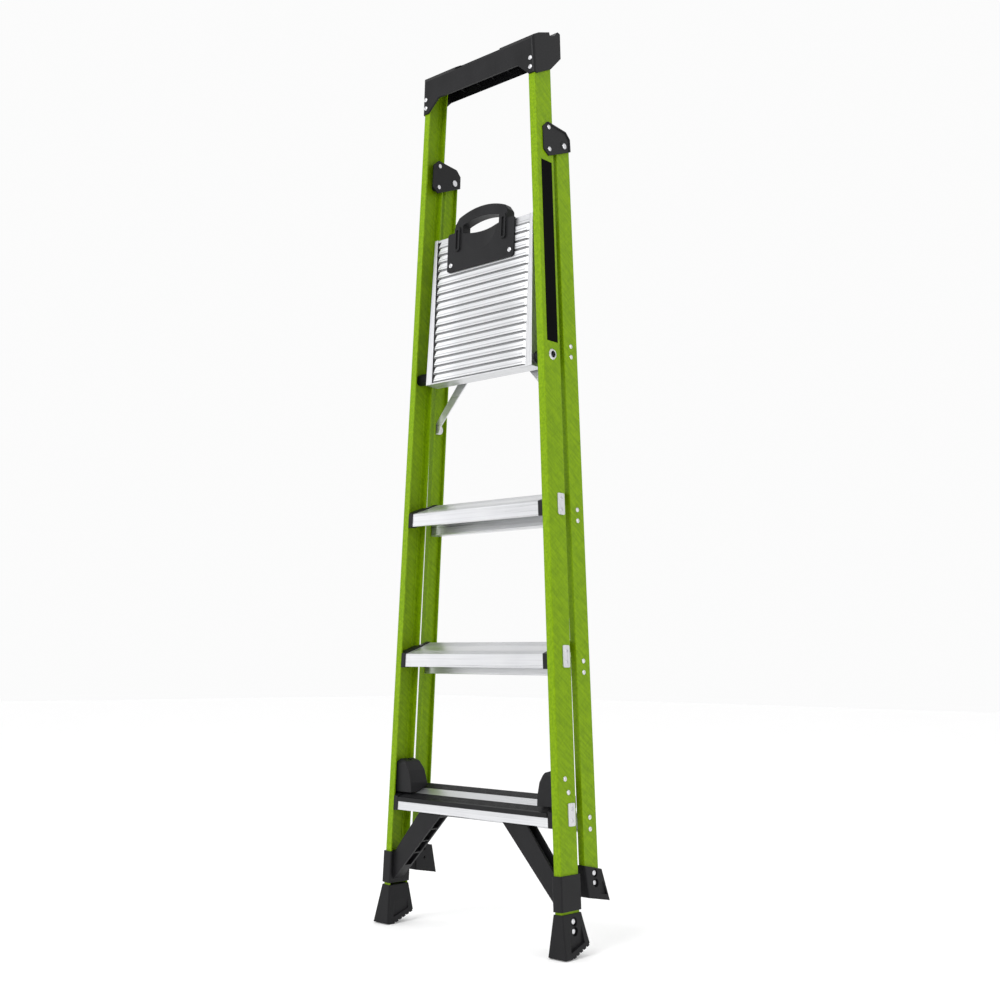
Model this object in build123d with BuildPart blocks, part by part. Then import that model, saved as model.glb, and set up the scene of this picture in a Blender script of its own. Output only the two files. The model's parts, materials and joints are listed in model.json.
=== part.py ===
"""Platform step ladder, stored folded and standing upright.

Millimetres, +Z up, -Y is the climbing side, X = 0 is the plane of symmetry.  The origin is on
the ground below the middle of the ladder.  Everything on the right (+X) side is drawn on the
splayed rail plane and mirrored to the left.
"""
from build123d import *
from math import atan, cos, radians, sin, tan
import os

os.makedirs("parts", exist_ok=True)

# ---- driving dimensions -------------------------------------------------------------------
STEP = 305.0                      # tread spacing along the rail, 12 in
HALF_W = 253.05                   # half width over the front rails at the ground
TAPER = 0.04872                   # half width lost per millimetre of height
SPLAY = atan(TAPER)               # lean of each rail towards the middle
LEAN = 20.0                       # how far the front section leans when the ladder is open
REAR_SOLE = -10.0                 # rear sole angle when folded

FRONT_Y, BACK_Y = -63.0, -9.6     # front rail channel, front and back face
FLANGE, WALL = 17.1, 3.2          # front rail flange reach and web
REAR_Y0, REAR_LEAN = 12.49, 0.0069   # rear rail front face at the ground, and its slope
REAR_D, REAR_WALL = 42.3, 2.8     # rear rail depth and web
REAR_FLANGE, REAR_LIP = 14.5, 9.6 # its front flange and shorter back flange
REAR_INSET = 1.0                  # rear rail web sits this far inside the hinge plate

TREAD_Z = [268.0, 573.0, 878.0]   # front top edge of each tread
TREAD_Y = -61.4
BAR_Z = [243.6, 549.3, 856.0, 1200.0]   # rear cross bars
HINGE = (22.8, 1652.0)            # rear section hinge (Y, Z)
PIVOT = (-35.6, 1183.4)           # platform pivot (Y, Z)
PLATFORM_TILT = 2.0               # folded platform leans back this much
DECK_HALF = 136.6
CAP_TOP = 1861.0                  # front rail end, inside the top cap

RIVET = 2.6                       # rivet shank radius
HOLE = RIVET + 0.3                # and its hole
COS, SIN = cos(SPLAY), sin(SPLAY)

RAIL = Plane(origin=(HALF_W, 0, 0), x_dir=(COS, 0, SIN), z_dir=(-SIN, 0, COS))
REAR = Plane(origin=(HALF_W - REAR_INSET, REAR_Y0, 0), x_dir=(COS, 0, SIN),
             z_dir=(-SIN, -REAR_LEAN, COS))


def half_width(z):
    """Half width over the front rails at height z."""
    return HALF_W - TAPER * z


def rail_side(offset):
    """YZ plane lying on the right rail's outer face, moved outwards by offset."""
    return Plane(origin=(HALF_W + offset / COS, 0, 0), x_dir=(0, 1, 0), z_dir=(COS, 0, SIN))


def on_side(y, z):
    """Point (Y, Z) written in the rail_side plane."""
    return (y, z / COS)


def rear_y(z):
    """Front face of the rear rail at height z."""
    return REAR_Y0 - REAR_LEAN * z


def strip(inner, outer, z0, z1):
    """XZ outline between two insets from the right rail's outer face."""
    return [(half_width(z0) - inner, z0), (half_width(z0) - outer, z0),
            (half_width(z1) - outer, z1), (half_width(z1) - inner, z1)]


def save(part, label):
    """Label a finished part and write its STEP file."""
    part.label = label
    export_step(part, f"parts/{label}.step")


def save_pair(part, stem):
    """Write the right-hand part and its mirror image."""
    save(part, stem + "_right")
    with BuildPart() as other:
        mirror(part, about=Plane.YZ)
    save(other.part, stem + "_left")


def save_both(part, label):
    """Write the right-hand part and its mirror image as one node."""
    with BuildPart() as both:
        add(part)
        mirror(part, about=Plane.YZ)
    save(both.part, label)


def rivet_set(points, outer, inner, head=6.2, tail=4.6):
    """Domed rivets across the right rail: (Y, Z) points, outer and inner face offsets."""
    with BuildPart() as rivets:
        for y, z in points:
            with Locations(rail_side(outer).location * Location((*on_side(y, z), 0))):
                with Locations((0, 0, (inner - outer) / 2)):
                    Cylinder(RIVET, outer - inner)
                with Locations((0, 0, 0.45)):
                    Cylinder(head, 0.9)
                with Locations((0, 0, 0.9)):
                    Cone(head - 0.4, head - 3.0, 1.9, align=(Align.CENTER, Align.CENTER, Align.MIN))
                with Locations((0, 0, inner - outer - 0.9)):
                    Cylinder(tail, 1.8)
    return rivets.part


# ---- rivet positions (Y, Z) ---------------------------------------------------------------
foot_rivets = [(-34.5, 66.3), (-34.5, 48.3)]
housing_rivets = [(-41.2, 332.9), (-32.2, 306.7)]
hinge_rivets = [(-26.5, 1679.8), (-26.5, 1630.8)]
cap_rivets = [(157.3, 1824.8), (157.3, 1805.1)]         # (X, Z), through the front flange
rear_foot_rivets = [(35.8, 148.7), (35.8, 130.2)]
bar_rivets = [(rear_y(z) + 21.4, z + dz) for z in BAR_Z for dz in (-11.3, 11.3)]
tab_points = [(-25.75, z - 3.7 + dz) for z in TREAD_Z for dz in (-11.0, 11.0)]

# ---- front rails --------------------------------------------------------------------------
front_outline = [
    (0, FRONT_Y), (0, BACK_Y), (-FLANGE, BACK_Y), (-FLANGE, BACK_Y - 3.3), (-5.2, BACK_Y - 3.3),
    (-4.8, BACK_Y - 11), (-WALL, BACK_Y - 12), (-WALL, FRONT_Y + 12), (-4.8, FRONT_Y + 11),
    (-5.2, FRONT_Y + 3.3), (-FLANGE, FRONT_Y + 3.3), (-FLANGE, FRONT_Y),
]
with BuildPart() as front_rail:
    with BuildSketch(RAIL.offset(34)):
        with BuildLine():
            Polyline(*front_outline, close=True)
        make_face()
    extrude(amount=CAP_TOP / COS - 34)
    outer_edges = front_rail.edges().filter_by(Axis(RAIL.origin, RAIL.z_dir)).filter_by(
        lambda e: abs(RAIL.to_local_coords(e.center()).X) < 0.01)
    fillet(outer_edges, 2.2)
    for y, z in foot_rivets + housing_rivets + hinge_rivets + tab_points:
        with Locations(rail_side(0).location * Location((*on_side(y, z), 0))):
            Cylinder(HOLE, 16, mode=Mode.SUBTRACT)
    with Locations(Location((half_width(PIVOT[1]), *PIVOT), (0, 90, 0))):
        Cylinder(9.0, 20, mode=Mode.SUBTRACT)
    for x, z in cap_rivets:
        with Locations(Location((x, FRONT_Y, z), (90, 0, 0))):
            Cylinder(HOLE, 16, mode=Mode.SUBTRACT)
save_pair(front_rail.part, "front_rail")

# ---- rear rails ---------------------------------------------------------------------------
rear_outline = [
    (0, 0), (0, REAR_D), (-REAR_LIP, REAR_D), (-REAR_LIP, REAR_D - 2.8),
    (-REAR_WALL, REAR_D - 2.8), (-REAR_WALL, 2.8), (-REAR_FLANGE, 2.8), (-REAR_FLANGE, 0),
]
with BuildPart() as rear_rail:
    with BuildSketch(REAR.offset(112)):
        with BuildLine():
            Polyline(*rear_outline, close=True)
        make_face()
    extrude(amount=HINGE[1] + 18 - 112)
    outer_edges = rear_rail.edges().filter_by(Axis(REAR.origin, REAR.z_dir)).filter_by(
        lambda e: abs(REAR.to_local_coords(e.center()).X) < 0.01)
    fillet(outer_edges, 0.9)
    for y, z in rear_foot_rivets + bar_rivets:
        with Locations(rail_side(0).location * Location((*on_side(y, z), 0))):
            Cylinder(HOLE, 16, mode=Mode.SUBTRACT)
    with Locations(Location((half_width(HINGE[1]), *HINGE), (0, 90, 0))):
        Cylinder(5.06, 20, mode=Mode.SUBTRACT)
save_pair(rear_rail.part, "rear_rail")

# ---- rear hinge plates and pins -----------------------------------------------------------
plate_outline = [(-44.3, 1677.5), (-29.6, 1690.9), (29.0, 1685.8), (42.1, 1672.7),
                 (43.0, 1645.2), (-28.1, 1615.6), (-44.1, 1626.3)]
rim_outline = [(-29.6, 1690.9), (29.0, 1685.8), (42.1, 1672.7), (43.0, 1645.2), (39.4, 1643.7),
               (38.6, 1671.2), (27.6, 1682.3), (-29.0, 1687.3)]
for label, low, high in (("hinge_plate_outer", 0.0, 3.0), ("hinge_plate_inner", -FLANGE - 3.0, -FLANGE)):
    with BuildPart() as plate:
        with BuildSketch(rail_side(low)):
            with BuildLine():
                Polyline(*[on_side(*p) for p in plate_outline], close=True)
            make_face()
        extrude(amount=high - low)
        if label == "hinge_plate_outer":
            with BuildSketch(rail_side(high)):
                with BuildLine():
                    Polyline(*[on_side(*p) for p in rim_outline], close=True)
                make_face()
            extrude(amount=1.6)
            with Locations(Location((half_width(HINGE[1]) + 3, *HINGE), (0, 90, 0))):
                Cylinder(11, 1.4)
        else:
            boss_end = half_width(HINGE[1]) - REAR_INSET - REAR_WALL - 0.8
            boss_root = half_width(HINGE[1]) - FLANGE - 1.5
            with Locations(Location(((boss_end + boss_root) / 2, *HINGE), (0, 90, 0))):
                Cylinder(9, boss_end - boss_root)
            for y, z in hinge_rivets:
                with Locations(rail_side(0).location * Location((*on_side(y, z), -11.3))):
                    Cylinder(7, 12.2)
        for y, z in hinge_rivets:
            with Locations(rail_side(0).location * Location((*on_side(y, z), 0))):
                Cylinder(HOLE, 60, mode=Mode.SUBTRACT)
        with Locations(Location((half_width(HINGE[1]), *HINGE), (0, 90, 0))):
            Cylinder(5.0, 60, mode=Mode.SUBTRACT)
    save_pair(plate.part, label)

with BuildPart() as hinge_pin:
    x_in, x_out = half_width(HINGE[1]) - FLANGE - 3.4, half_width(HINGE[1]) + 3.7
    with Locations(Location(((x_in + x_out) / 2, *HINGE), (0, 90, 0))):
        Cylinder(5.0, x_out - x_in)
    with Locations(Location((x_out, *HINGE), (0, 90, 0))):
        Cone(8.0, 5.0, 2.4, align=(Align.CENTER, Align.CENTER, Align.MIN))
    with Locations(Location((x_in, *HINGE), (0, -90, 0))):
        Cone(7.0, 5.0, 2.0, align=(Align.CENTER, Align.CENTER, Align.MIN))
save_both(hinge_pin.part, "hinge_pins")
save_both(rivet_set(hinge_rivets, 3.0, -FLANGE - 3.0), "hinge_rivets")

# ---- top cap ------------------------------------------------------------------------------
cap_outline = [(-67.0, 1792.7), (-58.0, 1791.5), (-12.9, 1815.4), (22.1, 1852.1), (22.7, 1909.4),
               (15.1, 1911.7), (4.0, 1899.0), (-11.7, 1892.8), (-14.0, 1900.2), (-49.9, 1886.1),
               (-65.7, 1876.5), (-69.0, 1868.0)]
cap_hollow = [(FRONT_Y, 1780), (19.2, 1780), (19.2, 1904.0), (15.6, 1904.6), (5.4, 1895.6),
              (-13.6, 1888.0), (-16.0, 1895.6), (-44.0, 1882.4), (-61.0, 1866.0), (-63.0, 1862.0)]
with BuildPart() as top_cap:
    with BuildSketch(Plane.YZ):
        with BuildLine():
            Polyline(*cap_outline, close=True)
        make_face()
    extrude(amount=200, both=True)
    with BuildSketch(Plane.XZ):
        with BuildLine():
            Polyline((-half_width(1780) - 3, 1780), (half_width(1780) + 3, 1780),
                     (half_width(1920) + 3, 1920), (-half_width(1920) - 3, 1920), close=True)
        make_face()
    extrude(amount=200, both=True, mode=Mode.INTERSECT)
    corner = top_cap.edges().filter_by(lambda e: abs(e.center().X) > 150 and e.center().Y < -64
                                       and e.length > 60)
    fillet(corner, 6.5)
    with BuildPart(mode=Mode.SUBTRACT):
        with BuildSketch(Plane.YZ):
            with BuildLine():
                Polyline(*cap_hollow, close=True)
            make_face()
        extrude(amount=200, both=True)
        with BuildSketch(Plane.XZ):
            with BuildLine():
                Polyline((-half_width(1770), 1770), (half_width(1770), 1770),
                         (half_width(1920), 1920), (-half_width(1920), 1920), close=True)
            make_face()
        extrude(amount=200, both=True, mode=Mode.INTERSECT)
    with BuildSketch(Plane.XZ):
        with BuildLine():
            Polyline((-150.4, 1785), (-150.4, 1793), (-119.3, 1820), (119.3, 1820), (150.4, 1793),
                     (150.4, 1785), close=True)
        make_face()
    extrude(amount=200, both=True, mode=Mode.SUBTRACT)
    for x in (-118.0, -70.0, -24.0, 24.0, 70.0, 118.0):          # stiffening ribs inside
        with BuildSketch(Plane.YZ.offset(x - 1.25)):
            with BuildLine():
                Polyline((-63.2, 1832), (-40, 1858), (0, 1866), (19.4, 1862), (19.4, 1904.2),
                         (15.6, 1904.8), (5.4, 1895.8), (-13.4, 1888.2), (-15.8, 1895.8),
                         (-44.2, 1882.6), (-63.2, 1862.2), close=True)
            make_face()
        extrude(amount=2.5)
    with BuildSketch(Plane.YZ.offset(-67)):                      # shallow dip in the front edge
        with BuildLine():
            Polyline((-72, 1868.2), (-64.0, 1869.6), (-46.0, 1881.5), (-45.0, 1890.0), (-60, 1892),
                     (-72, 1884), close=True)
        make_face()
    extrude(amount=134, mode=Mode.SUBTRACT)
    for side in (-1, 1):                                         # rivets into the front flanges
        for x, z in cap_rivets:
            with Locations(Location((side * x, FRONT_Y, z), (90, 0, 0))):
                Cylinder(HOLE, 16, mode=Mode.SUBTRACT)
save(top_cap.part, "top_cap")

with BuildPart() as cap_pins:
    for x, z in cap_rivets:
        face = -67.2 - 2.0 * (z - 1792.7) / 75.3
        with Locations(Location((x, (face + FRONT_Y + 3.3) / 2, z), (90, 0, 0))):
            Cylinder(RIVET, FRONT_Y + 3.3 - face)
        with Locations(Location((x, face, z), (90, 0, 0))):
            Cone(6.0, 3.0, 2.6, align=(Align.CENTER, Align.CENTER, Align.MIN))
save_both(cap_pins.part, "top_cap_rivets")

# ---- treads -------------------------------------------------------------------------------
TREAD_SHELL = [(0, 0), (71.4, 26), (71.4, 8), (63, 5), (63, 7.5), (68.9, 9.6), (68.9, 22.5),
               (2.5, -1.66), (2.5, -25), (10, -25), (10, -27.5), (0, -27.5)]
CAP_BLOCK = [(-1.4, 1.4), (72.6, 28.3), (72.6, 5.5), (62, 2.0), (12, -29), (-1.4, -29)]


def tread_part(z, outline, inset):
    """Open aluminium tread section, trimmed to the splay of the rails."""
    with BuildPart() as tread:
        with BuildSketch(Plane.YZ):
            with BuildLine():
                Polyline(*[(TREAD_Y + y, z + dz) for y, dz in outline], close=True)
            make_face()
        extrude(amount=240, both=True)
        with BuildSketch(Plane.XZ):
            with BuildLine():
                Polyline((-half_width(z - 60) + inset, z - 60), (half_width(z - 60) - inset, z - 60),
                         (half_width(z + 60) - inset, z + 60), (-half_width(z + 60) + inset, z + 60),
                         close=True)
            make_face()
        extrude(amount=200, both=True, mode=Mode.INTERSECT)
    return tread.part


def along(s, h, z):
    """YZ point s along a tread's standing surface and h above it."""
    c, n = cos(radians(LEAN)), sin(radians(LEAN))
    return (TREAD_Y + s * c - h * n, z + s * n + h * c)


for name, z in (("tread_upper", TREAD_Z[2]), ("tread_middle", TREAD_Z[1])):
    with BuildPart() as tread:
        add(tread_part(z, TREAD_SHELL, 28.7))
        grooves = [3.5 + 4 * k for k in range(5)] + [56.5 + 4 * k for k in range(5)]
        with BuildSketch(Plane.YZ):
            for s in grooves:
                with Locations(along(s, -0.2, z)):
                    Rectangle(1.6, 1.4, rotation=LEAN)
            with Locations(along(38, -0.1, z)):
                Rectangle(30, 0.8, rotation=LEAN)
        extrude(amount=240, both=True, mode=Mode.SUBTRACT)
    save(tread.part, name)

BOTTOM_SHELL = [(0, -9.8), (2.5, -8.9), (71.4, 16.2), (71.4, 3), (63, 0), (63, 2.5), (68.9, 4.6),
                (68.9, 12.6), (2.5, -11.6), (2.5, -25), (10, -25), (10, -27.5), (0, -27.5)]
save(tread_part(TREAD_Z[0], BOTTOM_SHELL, 28.7), "tread_bottom")

for index, z in enumerate(TREAD_Z):
    name = ("bottom", "middle", "upper")[index]
    with BuildPart() as end_cap:
        for inner, outer, y0, y1 in ((28.7, FLANGE + 0.05, -200, 200), (FLANGE + 0.5, 5.3, -59.6, -13.0)):
            with BuildPart(mode=Mode.ADD):
                with BuildSketch(Plane.YZ.offset(60)):
                    with BuildLine():
                        Polyline(*[(TREAD_Y + y, z + dz) for y, dz in CAP_BLOCK], close=True)
                    make_face()
                    with Locations(((y0 + y1) / 2, z)):
                        Rectangle(y1 - y0, 200, mode=Mode.INTERSECT)
                extrude(amount=240)
                with BuildSketch(Plane.XZ):
                    with BuildLine():
                        Polyline(*strip(inner, outer, z - 90, z + 90), close=True)
                    make_face()
                extrude(amount=200, both=True, mode=Mode.INTERSECT)
        for y, dz in tab_points:
            with Locations(rail_side(0).location * Location((*on_side(y, dz), -6))):
                Cylinder(HOLE, 14, mode=Mode.SUBTRACT)
    save_pair(end_cap.part, f"tread_{name}_end_cap")

# backing plates with clinched tabs, on the outside of the web beside every tread
with BuildPart() as backing:
    for z in TREAD_Z:
        with BuildSketch(rail_side(0)):
            with Locations(on_side(-25.75, z - 3.7)):
                RectangleRounded(20.5, 44, 3.5)
        extrude(amount=2.2)
    for y, z in tab_points:
        with Locations(rail_side(2.2).location * Location((*on_side(y, z), 0))):
            Cone(4.2, 3.0, 1.5, align=(Align.CENTER, Align.CENTER, Align.MIN))
            with Locations((0, 0, 1.2)):
                Box(2.4, 6.4, 1.6, mode=Mode.SUBTRACT)
                Box(6.4, 2.4, 1.6, mode=Mode.SUBTRACT)
            with Locations((0, 0, -5.6)):
                Cylinder(RIVET, 11.2)
save_both(backing.part, "tread_backing_plates")

# ---- sprung cover of the bottom tread ------------------------------------------------------
z = TREAD_Z[0]
with BuildPart() as press_cover:
    with BuildSketch(Plane.YZ):
        with BuildLine():
            Polyline((TREAD_Y - 2.4, z - 0.9), along(76, 0, z), along(76, -5.0, z), along(1.2, -5.0, z),
                     (TREAD_Y - 0.9, z - 6.2), (TREAD_Y - 0.9, z - 9.6), (TREAD_Y - 2.4, z - 9.6),
                     close=True)
        make_face()
        for s in [4.0 + 4.2 * k for k in range(5)] + [55.0 + 4.2 * k for k in range(5)]:
            with Locations(along(s, -0.1, z)):
                Rectangle(1.7, 1.8, rotation=LEAN, mode=Mode.SUBTRACT)
        with Locations(along(38.5, 0.2, z)):
            Rectangle(29, 3.0, rotation=LEAN, mode=Mode.SUBTRACT)
    extrude(amount=240, both=True)
    with BuildSketch(Plane.XZ):
        with BuildLine():
            Polyline((-half_width(z - 60) + 30.2, z - 60), (half_width(z - 60) - 30.2, z - 60),
                     (half_width(z + 60) - 30.2, z + 60), (-half_width(z + 60) + 30.2, z + 60),
                     close=True)
        make_face()
    extrude(amount=200, both=True, mode=Mode.INTERSECT)
save(press_cover.part, "press_cover")

with BuildPart() as press_strip:
    with BuildSketch(Plane.YZ):
        with Locations(along(38.5, -0.9, z)):
            Rectangle(28.6, 0.8, rotation=LEAN)
    extrude(amount=240, both=True)
    with BuildSketch(Plane.XZ):
        with BuildLine():
            Polyline((-half_width(z - 60) + 34, z - 60), (half_width(z - 60) - 34, z - 60),
                     (half_width(z + 60) - 34, z + 60), (-half_width(z + 60) + 34, z + 60), close=True)
        make_face()
    extrude(amount=200, both=True, mode=Mode.INTERSECT)
save(press_strip.part, "press_strip")

# ---- corner housings above the bottom tread ------------------------------------------------
with BuildPart() as housing:
    x0 = half_width(300) - 5.6
    with BuildSketch(Plane.XZ):
        with BuildLine():
            Polyline((half_width(278) - 5.4, 278), (half_width(336) - 5.4, 336), (x0 - 19, 348),
                     (x0 - 36, 343), (x0 - 48, 324), (x0 - 54, 298), (x0 - 55, 278), close=True)
        make_face()
    extrude(amount=100, both=True)
    with BuildSketch(Plane.YZ.offset(60)):
        with BuildLine():
            Polyline(along(8, 2.2, z), along(60, 2.2, z), (-10, 330), (-17, 352), (-50, 352),
                     (-57, 338), close=True)
        make_face()
    extrude(amount=240, mode=Mode.INTERSECT)
    with BuildPart(mode=Mode.SUBTRACT):              # clear the rail flanges
        with BuildSketch(Plane.XZ):
            with BuildLine():
                Polyline(*strip(FLANGE + 0.2, -20, 200, 420), close=True)
            make_face()
        extrude(amount=200, both=True)
        with Locations((240, -36.3, 300)):
            Box(120, 46.2, 300, mode=Mode.SUBTRACT)
    with Locations((x0 - 30, -34, 348)):             # shallow slot along the crown
        Box(40, 6, 8, mode=Mode.SUBTRACT)
    for y, zz in housing_rivets:
        with Locations(rail_side(0).location * Location((*on_side(y, zz), -8))):
            Cylinder(5.0, 20, mode=Mode.SUBTRACT)
save_pair(housing.part, "corner_housing")
save_both(rivet_set(housing_rivets, 0.0, -7.0), "corner_housing_rivets")

# ---- corner braces: sleeve round the rail and a ribbed strut to the bottom tread ------------
def low_edge(t, inset=0.0):
    """XZ point along the strut's lower edge, t from the tread (0) to the sleeve (1)."""
    x0, x1 = 86.5, half_width(92) - 20
    dx, dz = x1 - x0, 92 - 240.5
    n = (dx * dx + dz * dz) ** 0.5
    return (x0 + dx * t - inset * dz / n, 240.5 + dz * t + inset * dx / n)


with BuildPart() as brace:
    with BuildSketch(RAIL.offset(86)):
        with Locations((-8.5, -36.5)):
            RectangleRounded(24, 59.4, 3)
    extrude(amount=66)
    with BuildSketch(Plane.XZ.offset(28)):
        with BuildLine():
            Polyline(low_edge(1), (half_width(150) - 20, 150), (150, 240.5), low_edge(0), close=True)
        make_face()
    extrude(amount=28)
    with BuildSketch(Plane.XZ.offset(33)):                       # channel along the upper side
        with BuildLine():
            Polyline((158, 247), (229, 164), (212, 149), (139, 230), close=True)
        make_face()
        for t0, t1 in ((0.06, 0.22), (0.24, 0.40), (0.42, 0.58), (0.60, 0.78)):   # ribbed lower side
            with BuildLine():
                Polyline(low_edge(t0, -8), low_edge(t1, -8), low_edge(t1, 9), low_edge(t0, 9),
                         close=True)
            make_face()
    extrude(amount=18, mode=Mode.SUBTRACT)
    with BuildSketch(RAIL.offset(60)):                           # the rail passes through
        with BuildLine():
            Polyline(*front_outline, close=True)
        make_face()
    extrude(amount=140, mode=Mode.SUBTRACT)
save_pair(brace.part, "corner_brace")

# ---- front feet -----------------------------------------------------------------------------
def front_sole(y):
    """Height of the front sole, flat on the ground when the ladder leans."""
    return 3.8 + tan(radians(LEAN)) * (y + 44)


with BuildPart() as front_foot:
    top, bottom = RAIL.offset(81), RAIL
    with BuildSketch(top):
        with Locations((-8.5, -37)):
            Rectangle(23.6, 58)
    with BuildSketch(bottom):
        with Locations((-7, -33)):
            Rectangle(46, 83)
    loft(ruled=True)
    fillet(front_foot.edges().filter_by(lambda e: e.length > 60), 3.0)
    with BuildSketch(Plane.YZ.offset(150)):                      # cut to the sloping sole
        with BuildLine():
            Polyline((-90, 4), (-74, 2.0), (-68, 0.0), (-54.4, 0.0), (-44, 3.8), (20, front_sole(20)),
                     (20, -20), (-90, -20), close=True)
        make_face()
    extrude(amount=200, mode=Mode.SUBTRACT)
    with BuildSketch(Plane.YZ.offset(150)):                      # cross grooves make the teeth
        for k in range(6):
            y = -50 + 10.5 * k
            with Locations((y, front_sole(y) + 0.2)):
                Rectangle(4.2, 5.2, rotation=LEAN)
    extrude(amount=200, mode=Mode.SUBTRACT)
    for offset, depth in ((24, -17), (-45, 21)):                 # recessed panels in both sides
        with BuildSketch(rail_side(offset)):
            with BuildLine():
                Polyline(on_side(-56, 13), on_side(-12, 27), on_side(-17, 72), on_side(-48, 72),
                         close=True)
            make_face()
        extrude(amount=depth, mode=Mode.SUBTRACT)
    for x in (238.0, 254.0):                                     # grooves across the toe
        with Locations((x, -70, 0)):
            Box(4.2, 32, 4.4, mode=Mode.SUBTRACT)
    with BuildSketch(RAIL.offset(33.8)):                         # socket for the rail end
        with BuildLine():
            Polyline(*front_outline, close=True)
        make_face()
    extrude(amount=80, mode=Mode.SUBTRACT)
    for y, zz in foot_rivets:
        with Locations(rail_side(0).location * Location((*on_side(y, zz), 0))):
            Cylinder(HOLE, 36, mode=Mode.SUBTRACT)
            with Locations((0, 0, 10)):
                Cylinder(8.6, 15, mode=Mode.SUBTRACT)
save_pair(front_foot.part, "front_foot")
with BuildPart() as foot_pins:
    for y, zz in foot_rivets:
        with Locations(rail_side(0).location * Location((*on_side(y, zz), 0))):
            with Locations((0, 0, -7.25)):
                Cylinder(RIVET, 19.5)
            with Locations((0, 0, 2.5)):
                Cone(6.4, 3.0, 2.6, align=(Align.CENTER, Align.CENTER, Align.MIN))
save_both(foot_pins.part, "front_foot_rivets")

# ---- rear feet ------------------------------------------------------------------------------
def rear_sole(y):
    """Height of the rear sole when folded."""
    return 93.8 + tan(radians(REAR_SOLE)) * (y - 72.5)


with BuildPart() as rear_foot:
    with BuildSketch(Plane(RAIL.offset(166).origin, x_dir=RAIL.x_dir, z_dir=RAIL.z_dir)):
        with Locations((-8.0, 33.2)):
            Rectangle(20.2, 49)
    with BuildSketch(Plane(RAIL.offset(86).origin, x_dir=RAIL.x_dir, z_dir=RAIL.z_dir)):
        with Locations((-5.4, 43.5)):
            Rectangle(33, 65)
    loft(ruled=True)
    fillet(rear_foot.edges().filter_by(lambda e: e.length > 70), 2.5)
    with BuildSketch(Plane.YZ.offset(150)):
        with BuildLine():
            Polyline((0, rear_sole(0)), (90, rear_sole(90)), (90, 60), (0, 60), close=True)
        make_face()
    extrude(amount=200, mode=Mode.SUBTRACT)
    with BuildSketch(Plane.YZ.offset(150)):
        with BuildLine():
            Polyline((0, 166.6), (90, 148), (90, 190), (0, 190), close=True)
        make_face()
        for k in range(5):
            y = 18 + 12.0 * k
            with Locations((y, rear_sole(y) + 0.2)):
                Rectangle(4.4, 5.0, rotation=REAR_SOLE)
    extrude(amount=200, mode=Mode.SUBTRACT)
    with BuildSketch(rail_side(20)):                             # panel behind the rail
        with BuildLine():
            Polyline(on_side(58, 132), on_side(67, 106), on_side(44, 110), on_side(46, 128),
                     close=True)
        make_face()
    extrude(amount=-15, mode=Mode.SUBTRACT)
    with BuildSketch(REAR.offset(111.9)):
        with BuildLine():
            Polyline(*rear_outline, close=True)
        make_face()
    extrude(amount=90, mode=Mode.SUBTRACT)
    for y, zz in rear_foot_rivets:
        with Locations(rail_side(0).location * Location((*on_side(y, zz), -8))):
            Cylinder(HOLE, 60, mode=Mode.SUBTRACT)
            with Locations((0, 0, 14.5)):
                Cylinder(8.2, 10, mode=Mode.SUBTRACT)
save_pair(rear_foot.part, "rear_foot")
with BuildPart() as rear_foot_pins:
    for y, zz in rear_foot_rivets:
        with Locations(rail_side(0).location * Location((*on_side(y, zz), 0))):
            with Locations((0, 0, -6)):
                Cylinder(RIVET, 15)
            with Locations((0, 0, 1.5)):
                Cone(6.2, 3.0, 2.6, align=(Align.CENTER, Align.CENTER, Align.MIN))
save_both(rear_foot_pins.part, "rear_foot_rivets")

# ---- rear cross bars, braces and their rivets ------------------------------------------------
for name, z in zip(("lowest", "lower", "middle", "top"), BAR_Z):
    y0 = rear_y(z)
    with BuildPart() as bar:
        with BuildSketch(Plane.YZ):
            with Locations((y0 + 21.4, z)):
                RectangleRounded(24, 38, 3)
                RectangleRounded(19.6, 33.6, 1.2, mode=Mode.SUBTRACT)
        extrude(amount=260, both=True)
        inset = REAR_INSET + REAR_WALL + 0.02
        with BuildSketch(Plane.XZ):
            with BuildLine():
                Polyline((-half_width(z - 60) + inset, z - 60), (half_width(z - 60) - inset, z - 60),
                         (half_width(z + 60) - inset, z + 60), (-half_width(z + 60) + inset, z + 60),
                         close=True)
            make_face()
        extrude(amount=200, both=True, mode=Mode.INTERSECT)
        for side in (-1, 1):                                     # closed ends take the rivets
            with BuildPart(mode=Mode.ADD):
                with BuildSketch(Plane.YZ.offset(side * (half_width(z) - 12))):
                    with Locations((y0 + 21.4, z)):
                        RectangleRounded(19.6, 33.6, 1.2)
                extrude(amount=side * 5.5)
        for dz in (-11.3, 11.3):
            for side in (-1, 1):
                with Locations(Location((side * half_width(z + dz), y0 + 21.4, z + dz),
                                        (0, side * (90 - 2.79), 0))):
                    Cylinder(HOLE, 60, mode=Mode.SUBTRACT)
    save(bar.part, f"rear_bar_{name}")
save_both(rivet_set(bar_rivets, -REAR_INSET, -14.0, tail=3.8), "rear_bar_rivets")

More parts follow.
